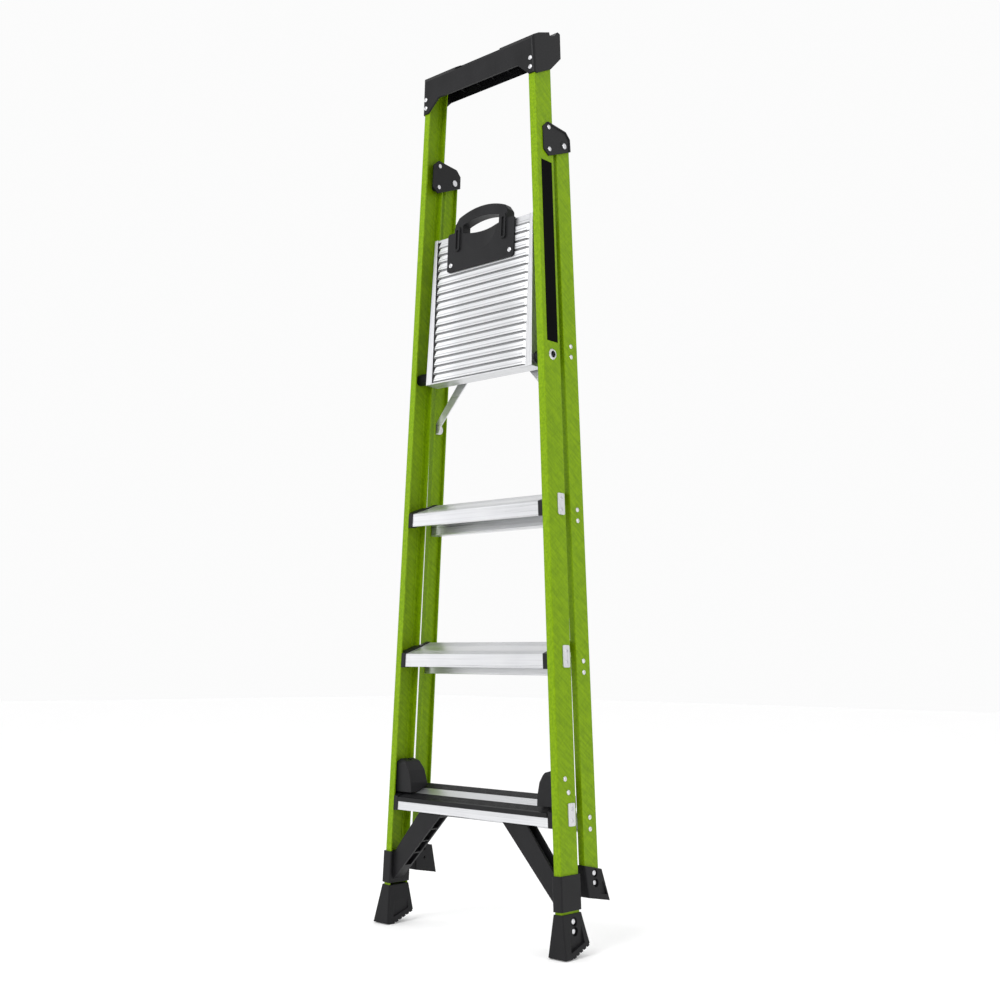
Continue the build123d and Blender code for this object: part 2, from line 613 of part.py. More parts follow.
KNEE_Y = rear_y(BAR_Z[3]) + 21.4 - 12.05       # front face of the top cross bar
with BuildPart() as knee:
    with BuildSketch(Plane.XZ.offset(-KNEE_Y)):
        with BuildLine():
            Polyline((183.5, 1072), (74, 1192), (90, 1209), (190, 1089), close=True)
        make_face()
        with Locations((185.0, 1080)):
            Circle(11)
    extrude(amount=2.4)
    with BuildSketch(Plane.YZ.offset(half_width(1080) - REAR_INSET - REAR_WALL - 2.8)):
        with Locations((rear_y(1080) + 21.4, 1080)):
            Circle(11)
        with Locations(((KNEE_Y - 2.4 + rear_y(1080) + 21.4) / 2, 1080)):
            Rectangle(rear_y(1080) + 21.4 - KNEE_Y + 2.4, 22)
    extrude(amount=-2.4)
    with BuildSketch(Plane.YZ.offset(half_width(1080) - REAR_INSET - REAR_WALL - 5.2)):
        with Locations((KNEE_Y - 1.2, 1080)):
            Rectangle(2.4, 22)
    extrude(amount=-8)
    with Locations(Location((190, rear_y(1080) + 21.4, 1080), (0, 90, 0))):
        Cylinder(HOLE, 40, mode=Mode.SUBTRACT)
    with Locations(Location((86, KNEE_Y, 1196), (90, 0, 0))):
        Cylinder(HOLE, 40, mode=Mode.SUBTRACT)
save_pair(knee.part, "knee_brace")
with BuildPart() as knee_pins:
    x_out = half_width(1080) - REAR_INSET
    x_out -= REAR_WALL + 0.25
    with Locations(Location((x_out - 3.0, rear_y(1080) + 21.4, 1080), (0, 90, 0))):
        Cylinder(RIVET, 6)
    with Locations(Location((x_out - 5.4, rear_y(1080) + 21.4, 1080), (0, -90, 0))):
        Cone(6.0, 3.6, 2.4, align=(Align.CENTER, Align.CENTER, Align.MIN))
    with Locations(Location((86, KNEE_Y - 2.4, 1196), (90, 0, 0))):
        Cone(5.4, 3.2, 2.2, align=(Align.CENTER, Align.CENTER, Align.MIN))
save_both(knee_pins.part, "knee_brace_rivets")

# ---- platform -------------------------------------------------------------------------------
TILT = radians(PLATFORM_TILT)
DECK_LOW, DECK_HIGH = -17.0, 306.0             # deck ends along the platform
EDGE_LOW, EDGE_HIGH = 155.1, 145.2             # side rail half width at local z -20 and 312
DECK_FACE = -18.9                              # standing surface, measured from the pivot
PITCH = 18.2
B = (0, PIVOT[0], PIVOT[1])
FACE = Plane(origin=B, x_dir=(1, 0, 0), z_dir=(0, -cos(TILT), sin(TILT)))    # x, z of the platform
SIDE = Plane(origin=B, x_dir=(0, cos(TILT), -sin(TILT)), z_dir=(1, 0, 0))    # y, z of the platform


def edge(z):
    """Side rail half width at platform height z."""
    return EDGE_LOW + (EDGE_HIGH - EDGE_LOW) * (z + 20) / 332


with BuildPart() as deck:
    with BuildSketch(SIDE):
        with Locations((DECK_FACE + 3.7, (DECK_LOW + DECK_HIGH) / 2)):
            Rectangle(2.4, DECK_HIGH - DECK_LOW)
        for k in range(int((DECK_HIGH - DECK_LOW) / PITCH)):
            with Locations((DECK_FACE + 1.4, DECK_LOW + PITCH * (k + 0.5))):
                RectangleRounded(2.8, 15.4, 1.2)
        for k in range(6):                                       # stiffening webs underneath
            with Locations((DECK_FACE + 8.4, DECK_LOW + 28 + 45 * k)):
                Rectangle(8, 2.2)
                with Locations((4, 0)):
                    Rectangle(2, 9)
    extrude(amount=DECK_HALF, both=True)
    with BuildSketch(FACE):                                      # room for the hand at the handle
        with Locations((0, 309)):
            Rectangle(112, 16)
    extrude(amount=60, both=True, mode=Mode.SUBTRACT)
save(deck.part, "platform_deck")

with BuildPart() as side_rail:
    with BuildSketch(SIDE.offset(110)):
        with BuildLine():
            Polyline((-18.2, -20), (19, -20), (19, 60), (9, 274), (3, 279), (3, 312), (-18.2, 312),
                     close=True)
        make_face()
    extrude(amount=60)
    with BuildSketch(FACE):
        with BuildLine():
            Polyline((EDGE_LOW, -20), (EDGE_HIGH, 312), (DECK_HALF + 0.3, 312),
                     (DECK_HALF + 0.3, -20), close=True)
        make_face()
    extrude(amount=60, both=True, mode=Mode.INTERSECT)
    with BuildSketch(FACE.offset(15.7)):                         # hollow behind the top flange
        with BuildLine():
            Polyline((edge(-30) - 2.5, -30), (edge(320) - 2.5, 320), (100, 320), (100, -30), close=True)
        make_face()
    extrude(amount=-80, mode=Mode.SUBTRACT)
    with Locations(Location((150, *PIVOT), (0, 90, 0))):
        Cylinder(9.06, 30, mode=Mode.SUBTRACT)
    with Locations(SIDE.location * Location((-4, 297, 148), (0, 0, 0))):
        Cylinder(HOLE, 30, mode=Mode.SUBTRACT)
save_pair(side_rail.part, "platform_side_rail")

with BuildPart() as nosing:
    with BuildSketch(SIDE):
        with BuildLine():
            Polyline((-18.2, -20), (19, -20), (19, -8), (16.6, -8), (16.6, -17.4), (-18.2, -17.4),
                     close=True)
        make_face()
    extrude(amount=170, both=True)
    with BuildSketch(FACE):
        with BuildLine():
            Polyline((-edge(-20) + 2.55, -21), (edge(-20) - 2.55, -21), (edge(0) - 2.55, 0),
                     (-edge(0) + 2.55, 0), close=True)
        make_face()
    extrude(amount=60, both=True, mode=Mode.INTERSECT)
    for side in (-1, 1):                                         # clear of the side rail flanges
        with Locations(FACE.location * Location((side * 150, -19, 17))):
            Box(27, 10, 6, mode=Mode.SUBTRACT)
save(nosing.part, "platform_nosing")

with BuildPart() as end_member:
    with BuildSketch(SIDE):
        with BuildLine():
            Polyline((-15.2, 306.3), (-15.2, 312), (2.6, 312), (2.6, 280), (0.4, 280), (0.4, 309.6),
                     (-12.8, 309.6), (-12.8, 306.3), close=True)
        make_face()
    extrude(amount=170, both=True)
    with BuildSketch(FACE):
        with BuildLine():
            Polyline((-edge(280) + 2.6, 279), (edge(280) - 2.6, 279), (edge(312) - 2.55, 313),
                     (-edge(312) + 2.55, 313), close=True)
        make_face()
    extrude(amount=60, both=True, mode=Mode.INTERSECT)
    with BuildSketch(FACE):
        with Locations((0, 309)):
            Rectangle(112, 16)
    extrude(amount=60, both=True, mode=Mode.SUBTRACT)
save(end_member.part, "platform_end_member")

with BuildPart() as platform_pins:
    with Locations(SIDE.location * Location((-4, 297, edge(297) - 1.2))):
        Cylinder(RIVET, 7.6)
        with Locations((0, 0, 1.4)):
            Cone(5.4, 3.0, 2.2, align=(Align.CENTER, Align.CENTER, Align.MIN))
        with Locations((0, 0, -3.3)):
            Cylinder(4.4, 3.6)
save_both(platform_pins.part, "platform_pins")

# ---- carry handle ---------------------------------------------------------------------------
HOLE_X, HOLE_LOW, HOLE_HIGH = 53.5, 306.0, 327.0
PLATE_T = 4.5                                  # handle plate thickness
SCOOP_R, SCOOP_DEPTH = 46.0, 3.6               # dished recess below the hand hole
with BuildPart() as handle:
    with BuildSketch(FACE.offset(-DECK_FACE)):                   # plate on the deck
        with Locations((0, 270.5)):
            RectangleRounded(197, 88, 6)
    extrude(amount=PLATE_T)
    with BuildSketch(FACE.offset(0)):                            # arch above the deck edge
        with BuildLine():
            Polyline((-68, 347), (-77, 335), (-77, 313), (77, 313), (77, 335), (68, 347))
            ThreePointArc((68, 347), (0, 361), (-68, 347))
        make_face()
    extrude(amount=-DECK_FACE + PLATE_T)
    upper = handle.edges().filter_by(lambda e: e.center().Z > PIVOT[1] + 334)
    fillet(upper, 4.0)
    for side in (-1, 1):                                         # arch legs run down the plate
        with BuildSketch(FACE.offset(-DECK_FACE + 1.0)):
            with Locations((side * 68, 298)):
                RectangleRounded(15, 56, 6)
        extrude(amount=PLATE_T + 2.4)
        with BuildSketch(FACE.offset(-DECK_FACE + PLATE_T)):
            with Locations((side * 68, 296)):
                RectangleRounded(6.5, 44, 3)
        extrude(amount=10, mode=Mode.SUBTRACT)
    with BuildSketch(FACE.offset(-2)):                           # hand hole
        with BuildLine():
            Line((-HOLE_X, HOLE_HIGH), (-HOLE_X, HOLE_LOW + 3))
            ThreePointArc((-HOLE_X, HOLE_LOW + 3), (0, HOLE_LOW - 3), (HOLE_X, HOLE_LOW + 3))
            Line((HOLE_X, HOLE_LOW + 3), (HOLE_X, HOLE_HIGH))
            ThreePointArc((HOLE_X, HOLE_HIGH), (0, HOLE_HIGH + 9), (-HOLE_X, HOLE_HIGH))
        make_face()
    extrude(amount=40, mode=Mode.SUBTRACT)
    ball = (SCOOP_R ** 2 + SCOOP_DEPTH ** 2) / (2 * SCOOP_DEPTH)
    with BuildPart(mode=Mode.SUBTRACT):                          # dished recess
        with Locations(FACE.location * Location((0, HOLE_LOW + 2, -DECK_FACE + PLATE_T - SCOOP_DEPTH + ball))):
            Sphere(ball)
        with Locations(FACE.location * Location((0, HOLE_LOW - 25, 20))):
            Box(120, 52, 40, mode=Mode.INTERSECT)
    for x in (-87.2, 87.2):
        with Locations(FACE.location * Location((x, 241, 20))):
            Cylinder(HOLE, 12, mode=Mode.SUBTRACT)
save(handle.part, "carry_handle")

with BuildPart() as handle_pins:
    for x in (-87.2, 87.2):
        with Locations(FACE.location * Location((x, 241, -DECK_FACE))):
            with Locations((0, 0, PLATE_T / 2)):
                Cylinder(RIVET, PLATE_T)
            with Locations((0, 0, PLATE_T)):
                Cone(5.2, 2.6, 2.0, align=(Align.CENTER, Align.CENTER, Align.MIN))
save(handle_pins.part, "carry_handle_rivets")

# ---- platform pivots ------------------------------------------------------------------------
x_web, x_end = half_width(PIVOT[1]), 149.4
with BuildPart() as bushing:
    with Locations(Location((155.3, *PIVOT), (0, 90, 0))):
        Cylinder(12.7, 60, align=(Align.CENTER, Align.CENTER, Align.MIN))
    with BuildSketch(Plane.XZ):
        with BuildLine():
            Polyline(*strip(60, WALL + 0.02, 1150, 1215), close=True)
        make_face()
    extrude(amount=200, both=True, mode=Mode.INTERSECT)
    with Locations(Location((170, *PIVOT), (0, 90, 0))):
        Cylinder(9.0, 100, mode=Mode.SUBTRACT)
save_both(bushing.part, "platform_bushings")

with BuildPart() as pivot_tube:
    with Locations(Location((x_end, *PIVOT), (0, 90, 0))):
        Cylinder(9.0, x_web - x_end + 0.8, align=(Align.CENTER, Align.CENTER, Align.MIN))
        Cylinder(11.0, 1.9, align=(Align.CENTER, Align.CENTER, Align.MIN))
    with Locations(Location((x_web + 0.6, *PIVOT), (0, 90, 0))):
        Cone(11.4, 9.6, 1.8, align=(Align.CENTER, Align.CENTER, Align.MIN))
    with Locations(Location((170, *PIVOT), (0, 90, 0))):
        Cylinder(7.0, 100, mode=Mode.SUBTRACT)
save_both(pivot_tube.part, "platform_pivot_tubes")

# ---- plain plate on the right-hand rail -----------------------------------------------------
with BuildPart() as label_plate:
    with BuildSketch(rail_side(0)):
        with BuildLine():
            Polyline(on_side(-51, 1211), on_side(-17.6, 1211), on_side(-17.6, 1603),
                     on_side(-51, 1603), close=True)
        make_face()
    extrude(amount=0.5)
save(label_plate.part, "label_plate")
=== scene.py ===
"""Looks of the folded platform step ladder: camera, light, materials and the finely shaped pieces."""
import json
import math

import bmesh
import bpy
import numpy as np
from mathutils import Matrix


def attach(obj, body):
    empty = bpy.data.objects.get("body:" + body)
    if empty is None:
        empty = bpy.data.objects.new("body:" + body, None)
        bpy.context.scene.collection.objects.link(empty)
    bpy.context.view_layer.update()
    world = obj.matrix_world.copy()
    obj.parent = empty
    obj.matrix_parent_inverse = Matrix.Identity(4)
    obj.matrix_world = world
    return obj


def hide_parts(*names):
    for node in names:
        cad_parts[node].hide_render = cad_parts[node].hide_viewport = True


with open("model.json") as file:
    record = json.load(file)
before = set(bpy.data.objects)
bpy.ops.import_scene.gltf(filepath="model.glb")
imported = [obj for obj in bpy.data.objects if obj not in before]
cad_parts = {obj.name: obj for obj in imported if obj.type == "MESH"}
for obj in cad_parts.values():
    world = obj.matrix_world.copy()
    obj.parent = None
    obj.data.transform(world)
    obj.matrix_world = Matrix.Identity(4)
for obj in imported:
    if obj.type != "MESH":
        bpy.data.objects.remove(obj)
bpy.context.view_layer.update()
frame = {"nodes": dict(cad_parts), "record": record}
nodes = frame["nodes"]

# ---- sizes of the ladder, in millimetres -----------------------------------------------------
HALF_W, TAPER = 253.05, 0.04872        # half width over the front rails: ground value, loss per mm
SPLAY = math.atan(TAPER)
TILT = math.radians(2.0)               # the folded platform leans back this much
PIVOT = (-35.6, 1183.4)                # platform pivot (Y, Z)
DECK_LOW, DECK_HIGH, DECK_HALF, DECK_FACE = -17.0, 306.0, 136.6, -18.9
DECK_BACK = 4.9                        # back of the deck's plate, from its face
PITCH = 18.2                           # deck rib spacing
RIB_HALF, RIB_EASE, VALLEY = 6.2, 1.0, 2.5           # rib half width, its rounded shoulder, valley depth
SCORE_AT, SCORE_DEPTH, SCORE_WIDTH = 7.2, 0.45, 0.55  # fine line scored along each rib
END_FROM, END_EASE, END_SINK = 130.4, 5.0, 2.2       # where rib ends sink, over what length, how far
HAND_X, HAND_Z = 56.0, 301.0           # the deck is cut down to HAND_Z within HAND_X, for the hand
WEBS, WEB_FIRST, WEB_SPACING = 6, 28, 45             # T webs under the deck
SHADOW_TOOTH_TAPER, SHADOW_TOOTH_INSET = 12.0, 1.5   # painted shadow saw-tooth at the left rib ends, colour only
SHANK = 2.6                            # rivet shank radius
BAR_Z = (243.6, 549.3, 856.0, 1200.0)  # rear cross bars
REAR_Y0, REAR_LEAN = 12.49, 0.0069     # rear rail front face at the ground, and its slope

# ---- camera ---------------------------------------------------------------------------------
camera = bpy.data.objects.new("camera", bpy.data.cameras.new("camera"))
bpy.context.scene.collection.objects.link(camera)
camera.data.lens = 46.33
camera.data.sensor_width = 36.0
camera.data.clip_end = 60.0
camera.location = (1.8577, -2.0071, 0.5505)
camera.rotation_euler = tuple(math.radians(a) for a in (97.3164, -0.5683, 42.3860))
bpy.context.scene.camera = camera
scene = bpy.context.scene
scene.render.resolution_x = scene.render.resolution_y = 1000
scene.view_settings.view_transform = "Standard"
scene.view_settings.look = "None"

# ---- studio -----------------------------------------------------------------------------------
world = bpy.data.worlds.new("studio")
scene.world = world
world.use_nodes = True
world.node_tree.nodes["Background"].inputs["Color"].default_value = (1.0, 1.0, 1.0, 1.0)
world.node_tree.nodes["Background"].inputs["Strength"].default_value = 0.97


def lamp(name, place, aim, size, power):
    """A square area light at place that points at aim."""
    data = bpy.data.lights.new(name, "AREA")
    data.shape = "RECTANGLE"
    data.size, data.size_y = size
    data.energy = power
    lamp_object = bpy.data.objects.new(name, data)
    scene.collection.objects.link(lamp_object)
    lamp_object.location = place
    way = np.array(aim) - np.array(place)
    yaw = math.atan2(way[1], way[0]) - math.pi / 2
    tilt = math.atan2(way[2], math.hypot(way[0], way[1]))
    lamp_object.rotation_euler = (math.pi / 2 + tilt, 0, yaw)


lamp("key", (0.4, -3.6, 3.0), (0, 0, 1.0), (1.8, 2.4), 84)
lamp("side", (3.6, 0.4, 1.8), (0, 0, 1.0), (1.2, 2.6), 16)
lamp("left", (-3.0, -1.6, 1.6), (0, 0, 1.0), (1.2, 2.4), 14)

bpy.ops.mesh.primitive_plane_add(size=30, location=(0, 0, -0.0005))
floor = bpy.context.object
floor.name = "floor"


# ---- materials --------------------------------------------------------------------------------
class Look:
    """A node material whose texture reads object coordinates."""

    def __init__(self, name, roughness, metallic=0.0):
        self.material = bpy.data.materials.new(name)
        self.material.use_nodes = True
        self.tree = self.material.node_tree
        self.shader = self.tree.nodes["Principled BSDF"]
        self.shader.inputs["Roughness"].default_value = roughness
        self.shader.inputs["Metallic"].default_value = metallic
        self.coords = self.tree.nodes.new("ShaderNodeTexCoord").outputs["Object"]

    def link(self, a, b):
        self.tree.links.new(a, b)

    def noise(self, scale, stretch=(1, 1, 1), turn=(0, 0, 0), detail=4.0):
        """Noise in object space, stretched and turned."""
        mapping = self.tree.nodes.new("ShaderNodeMapping")
        mapping.vector_type = "TEXTURE"                  # turns first, then stretches
        mapping.inputs["Rotation"].default_value = turn
        mapping.inputs["Scale"].default_value = tuple(1 / value for value in stretch)
        texture = self.tree.nodes.new("ShaderNodeTexNoise")
        texture.inputs["Scale"].default_value = scale
        texture.inputs["Detail"].default_value = detail
        self.link(self.coords, mapping.inputs["Vector"])
        self.link(mapping.outputs["Vector"], texture.inputs["Vector"])
        return texture.outputs["Fac"]

    def ramp(self, value, stops):
        """Colour ramp from (position, colour) stops."""
        node = self.tree.nodes.new("ShaderNodeValToRGB")
        ramp = node.color_ramp
        ramp.elements[0].position, ramp.elements[0].color = stops[0][0], (*stops[0][1], 1)
        ramp.elements[1].position, ramp.elements[1].color = stops[-1][0], (*stops[-1][1], 1)
        for position, colour in stops[1:-1]:
            ramp.elements.new(position).color = (*colour, 1)
        self.link(value, node.inputs["Fac"])
        return node.outputs["Color"]

    def mix(self, a, b, share):
        """Colour a multiplied by colour b, by a fixed share."""
        node = self.tree.nodes.new("ShaderNodeMix")
        node.data_type = "RGBA"
        node.blend_type = "MULTIPLY"
        node.inputs["Factor"].default_value = share
        self.link(a, node.inputs[6])
        self.link(b, node.inputs[7])
        return node.outputs[2]

    def spread(self, value, low, high):
        """Value remapped to low..high."""
        node = self.tree.nodes.new("ShaderNodeMapRange")
        node.inputs["From Min"].default_value = 0.3
        node.inputs["From Max"].default_value = 0.7
        node.inputs["To Min"].default_value = low
        node.inputs["To Max"].default_value = high
        self.link(value, node.inputs["Value"])
        return node.outputs["Result"]

    def math(self, operation, a, b=0.0):
        """One arithmetic step on two values, each a socket or a number."""
        node = self.tree.nodes.new("ShaderNodeMath")
        node.operation = operation
        for value, socket in ((a, node.inputs[0]), (b, node.inputs[1])):
            if isinstance(value, (int, float)):
                socket.default_value = value
            else:
                self.link(value, socket)
        return node.outputs[0]

    def bump(self, height, strength, distance, bevel=0.0):
        """Bump from a height value, over softened edges."""
        node = self.tree.nodes.new("ShaderNodeBump")
        node.inputs["Strength"].default_value = strength
        node.inputs["Distance"].default_value = distance
        self.link(height, node.inputs["Height"])
        if bevel:
            edge = self.tree.nodes.new("ShaderNodeBevel")
            edge.samples = 4
            edge.inputs["Radius"].default_value = bevel
            self.link(edge.outputs["Normal"], node.inputs["Normal"])
        self.link(node.outputs["Normal"], self.shader.inputs["Normal"])


def fibreglass():
    """Yellow-green pultruded fibreglass: slanting glass strands, drawn lines and fine speckle."""
    look = Look("fibreglass_green", 0.42)
    strands = look.noise(240, (1, 1, 0.13), (math.radians(52), 0, 0), 4)
    crossed = look.noise(210, (1, 1, 0.15), (math.radians(-50), 0, 0), 4)
    drawn = look.noise(300, (1, 1, 0.004), detail=3)
    speckle = look.noise(900, detail=3)
    base = look.ramp(strands, [(0.36, (0.142, 0.255, 0.0006)), (0.5, (0.166, 0.29, 0.0008)),
                               (0.64, (0.192, 0.325, 0.0012))])
    second = look.ramp(crossed, [(0.32, (0.80, 0.82, 0.7)), (0.55, (1, 1, 1)), (0.75, (1.0, 1.0, 1.0))])
    lines = look.ramp(drawn, [(0.3, (0.84, 0.86, 0.8)), (0.5, (1, 1, 1)), (0.8, (1, 1, 1))])
    dots = look.ramp(speckle, [(0.3, (0.86, 0.88, 0.8)), (0.5, (1, 1, 1)), (0.8, (1, 1, 1))])
    colour = look.mix(look.mix(look.mix(base, second, 0.6), lines, 0.55), dots, 0.6)
    look.link(colour, look.shader.inputs["Base Color"])
    look.link(look.spread(strands, 0.36, 0.5), look.shader.inputs["Roughness"])
    look.shader.inputs["Specular IOR Level"].default_value = 0.12
    look.bump(strands, 0.12, 0.0004, 0.0012)
    return look.material


def aluminium(name, along, tone, rough=(0.26, 0.42)):
    """Mill-finish extrusion: fine drawing lines along one axis, cloudy roughness."""
    look = Look(name, 0.34, 0.85)
    stretch = {"x": (0.01, 1, 1), "z": (1, 1, 0.01)}[along]
    lines = look.noise(420, stretch, detail=5)
    clouds = look.noise(14, detail=3)
    tint = look.ramp(lines, [(0.3, tuple(c * 0.86 for c in tone)), (0.5, tone),
                             (0.75, tuple(min(1, c * 1.06) for c in tone))])
    haze = look.ramp(clouds, [(0.3, (0.93, 0.93, 0.94)), (0.7, (1, 1, 1))])
    look.link(look.mix(tint, haze, 1.0), look.shader.inputs["Base Color"])
    look.link(look.spread(lines, *rough), look.shader.inputs["Roughness"])
    look.bump(lines, 0.1, 0.0002, 0.0008)
    return look.material


def deck_metal():
    """Extruded deck: drawn lines, painted shade in the valleys between the ribs and along each scored line,
    and painted shadow teeth at the left rib ends.
    """
    look = Look("aluminium_deck", 0.34, 0.85)
    lines = look.noise(420, (0.01, 1, 1), detail=5)
    split = look.tree.nodes.new("ShaderNodeSeparateXYZ")
    look.link(look.coords, split.inputs[0])
    across, depth, height = split.outputs
    along = look.math("ADD", look.math("MULTIPLY", height, 1000 * math.cos(TILT)),
                      look.math("MULTIPLY", depth, 1000 * math.sin(TILT)))
    start = PIVOT[1] * math.cos(TILT) + PIVOT[0] * math.sin(TILT) + DECK_LOW
    phase = look.math("FRACT", look.math("DIVIDE", look.math("SUBTRACT", along, start), PITCH))
    off_middle = look.math("ABSOLUTE", look.math("SUBTRACT", phase, 0.5))
    # painted shade: the valley and scored-line masks darken the colour where shade falls in the grooves
    valley = look.math("GREATER_THAN", off_middle, 0.37)
    scored = look.math("LESS_THAN", look.math("ABSOLUTE", look.math("SUBTRACT", phase, 0.4)), 0.035)
    # painted shadow: black saw-tooth at the left rib ends, standing for the shadow gap between the rib ends
    # and the side rail
    reach = look.math("ADD", look.math("MULTIPLY", across, -1000.0),
                      look.math("MULTIPLY", phase, SHADOW_TOOTH_TAPER))
    shadow_teeth_mask = look.math("GREATER_THAN", reach, DECK_HALF - SHADOW_TOOTH_INSET)
    groove_shade_mask = look.math("ADD", look.math("MULTIPLY", valley, 0.62), look.math("MULTIPLY", scored, 0.3))
    painted_shade_mask = look.math("MAXIMUM", groove_shade_mask, shadow_teeth_mask)
    tint = look.ramp(lines, [(0.3, (0.56, 0.565, 0.58)), (0.5, (0.64, 0.645, 0.66)),
                             (0.75, (0.70, 0.705, 0.72))])
    # painted shade and shadow: the masks turn the deck colour nearly black
    shade = look.ramp(painted_shade_mask, [(0.0, (1, 1, 1)), (1.0, (0.02, 0.02, 0.02))])
    look.link(look.mix(tint, shade, 1.0), look.shader.inputs["Base Color"])
    look.link(look.spread(lines, 0.3, 0.46), look.shader.inputs["Roughness"])
    look.bump(lines, 0.1, 0.0002)
    return look.material


def moulded(name, tone, rough, grain=0.22, edge=0.0014):
    """Satin moulded plastic or rubber: fine spark-eroded grain and faint flow clouds."""
    look = Look(name, rough)
    grain_noise = look.noise(1400, detail=2)
    clouds = look.noise(22, (1, 1, 0.5), detail=4)
    colour = look.ramp(clouds, [(0.3, tuple(c * 0.8 for c in tone)), (0.7, tuple(c * 1.25 for c in tone))])
    look.link(colour, look.shader.inputs["Base Color"])
    look.shader.inputs["Specular IOR Level"].default_value = 0.17
    look.link(look.spread(clouds, rough - 0.06, rough + 0.08), look.shader.inputs["Roughness"])
    look.bump(grain_noise, grain, 0.0003, edge)
    return look.material


def plated():
    """Bright plated rivets with a slightly hammered dome."""
    look = Look("rivet_steel", 0.28, 1.0)
    dents = look.noise(260, detail=3)
    colour = look.ramp(dents, [(0.3, (0.50, 0.50, 0.52)), (0.7, (0.72, 0.72, 0.74))])
    look.link(colour, look.shader.inputs["Base Color"])
    look.link(look.spread(dents, 0.2, 0.4), look.shader.inputs["Roughness"])
    look.bump(dents, 0.2, 0.0004)
    return look.material


def vinyl():
    """Plain black strip with a faint orange-peel surface."""
    look = Look("label_black", 0.6)
    peel = look.noise(500, detail=2)
    colour = look.ramp(peel, [(0.3, (0.0015, 0.0015, 0.0015)), (0.7, (0.004, 0.004, 0.0045))])
    look.link(colour, look.shader.inputs["Base Color"])
    look.link(look.spread(peel, 0.5, 0.65), look.shader.inputs["Roughness"])
    look.shader.inputs["Specular IOR Level"].default_value = 0.02
    look.bump(peel, 0.1, 0.0002)
    return look.material


def paper():
    """Pale studio floor with a barely visible mottle."""
    look = Look("floor", 0.7)
    mottle = look.noise(3, detail=3)
    colour = look.ramp(mottle, [(0.3, (0.90, 0.90, 0.90)), (0.7, (0.92, 0.92, 0.92))])
    look.link(colour, look.shader.inputs["Base Color"])
    look.shader.inputs["Emission Color"].default_value = (1.0, 1.0, 1.0, 1.0)
    look.shader.inputs["Emission Strength"].default_value = 0.1
    return look.material


green = fibreglass()
bright_x = aluminium("aluminium_drawn", "x", (0.66, 0.665, 0.68))
bright_z = aluminium("aluminium_rail", "z", (0.66, 0.665, 0.68))
black = moulded("plastic_black", (0.009, 0.009, 0.010), 0.42)
plate = moulded("plate_black", (0.010, 0.010, 0.011), 0.42, 0.15)
rubber = moulded("foot_rubber", (0.008, 0.008, 0.009), 0.5, 0.3)
rivet = plated()
strip = vinyl()
floor.data.materials.append(paper())

SLOTS = {"fibreglass_green": green, "aluminium": bright_x, "plastic_black": black,
         "foot_rubber": rubber, "plate_black": plate, "rivet_steel": rivet, "label_black": strip}
slot_of = {s["node"]: s["material_slot"] for s in frame["record"]["subparts"]}
for name, node in nodes.items():
    material = SLOTS[slot_of[name]]
    if name.startswith(("platform_side_rail", "tread_backing")):
        material = bright_z
    node.data.materials.clear()
    node.data.materials.append(material)



# ---- finely shaped pieces -------------------------------------------------------------------
def piece(name, points, faces, material, body, slot, *stands_for):
    """A mesh object from points in millimetres, riding on a body in place of CAD nodes."""
    mesh = bpy.data.meshes.new(name)
    mesh.from_pydata((points / 1000.0).tolist(), [], faces)
    mesh.materials.append(material)
    shell = bmesh.new()
    shell.from_mesh(mesh)
    bmesh.ops.recalc_face_normals(shell, faces=shell.faces)
    shell.to_mesh(mesh)
    shell.free()
    mesh.polygons.foreach_set("use_smooth", np.ones(len(mesh.polygons), dtype=bool))
    mesh.set_sharp_from_angle(angle=math.radians(40))
    mesh.update()
    thing = bpy.data.objects.new(name, mesh)
    scene.collection.objects.link(thing)
    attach(thing, body)
    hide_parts(*stands_for)


def on_platform(x, y, z):
    """Platform coordinates (y from the pivot, z along the deck) as folded-ladder coordinates."""
    cosine, sine = math.cos(TILT), math.sin(TILT)
    return np.stack([x, PIVOT[0] + y * cosine + z * sine, PIVOT[1] - y * sine + z * cosine], axis=-1)


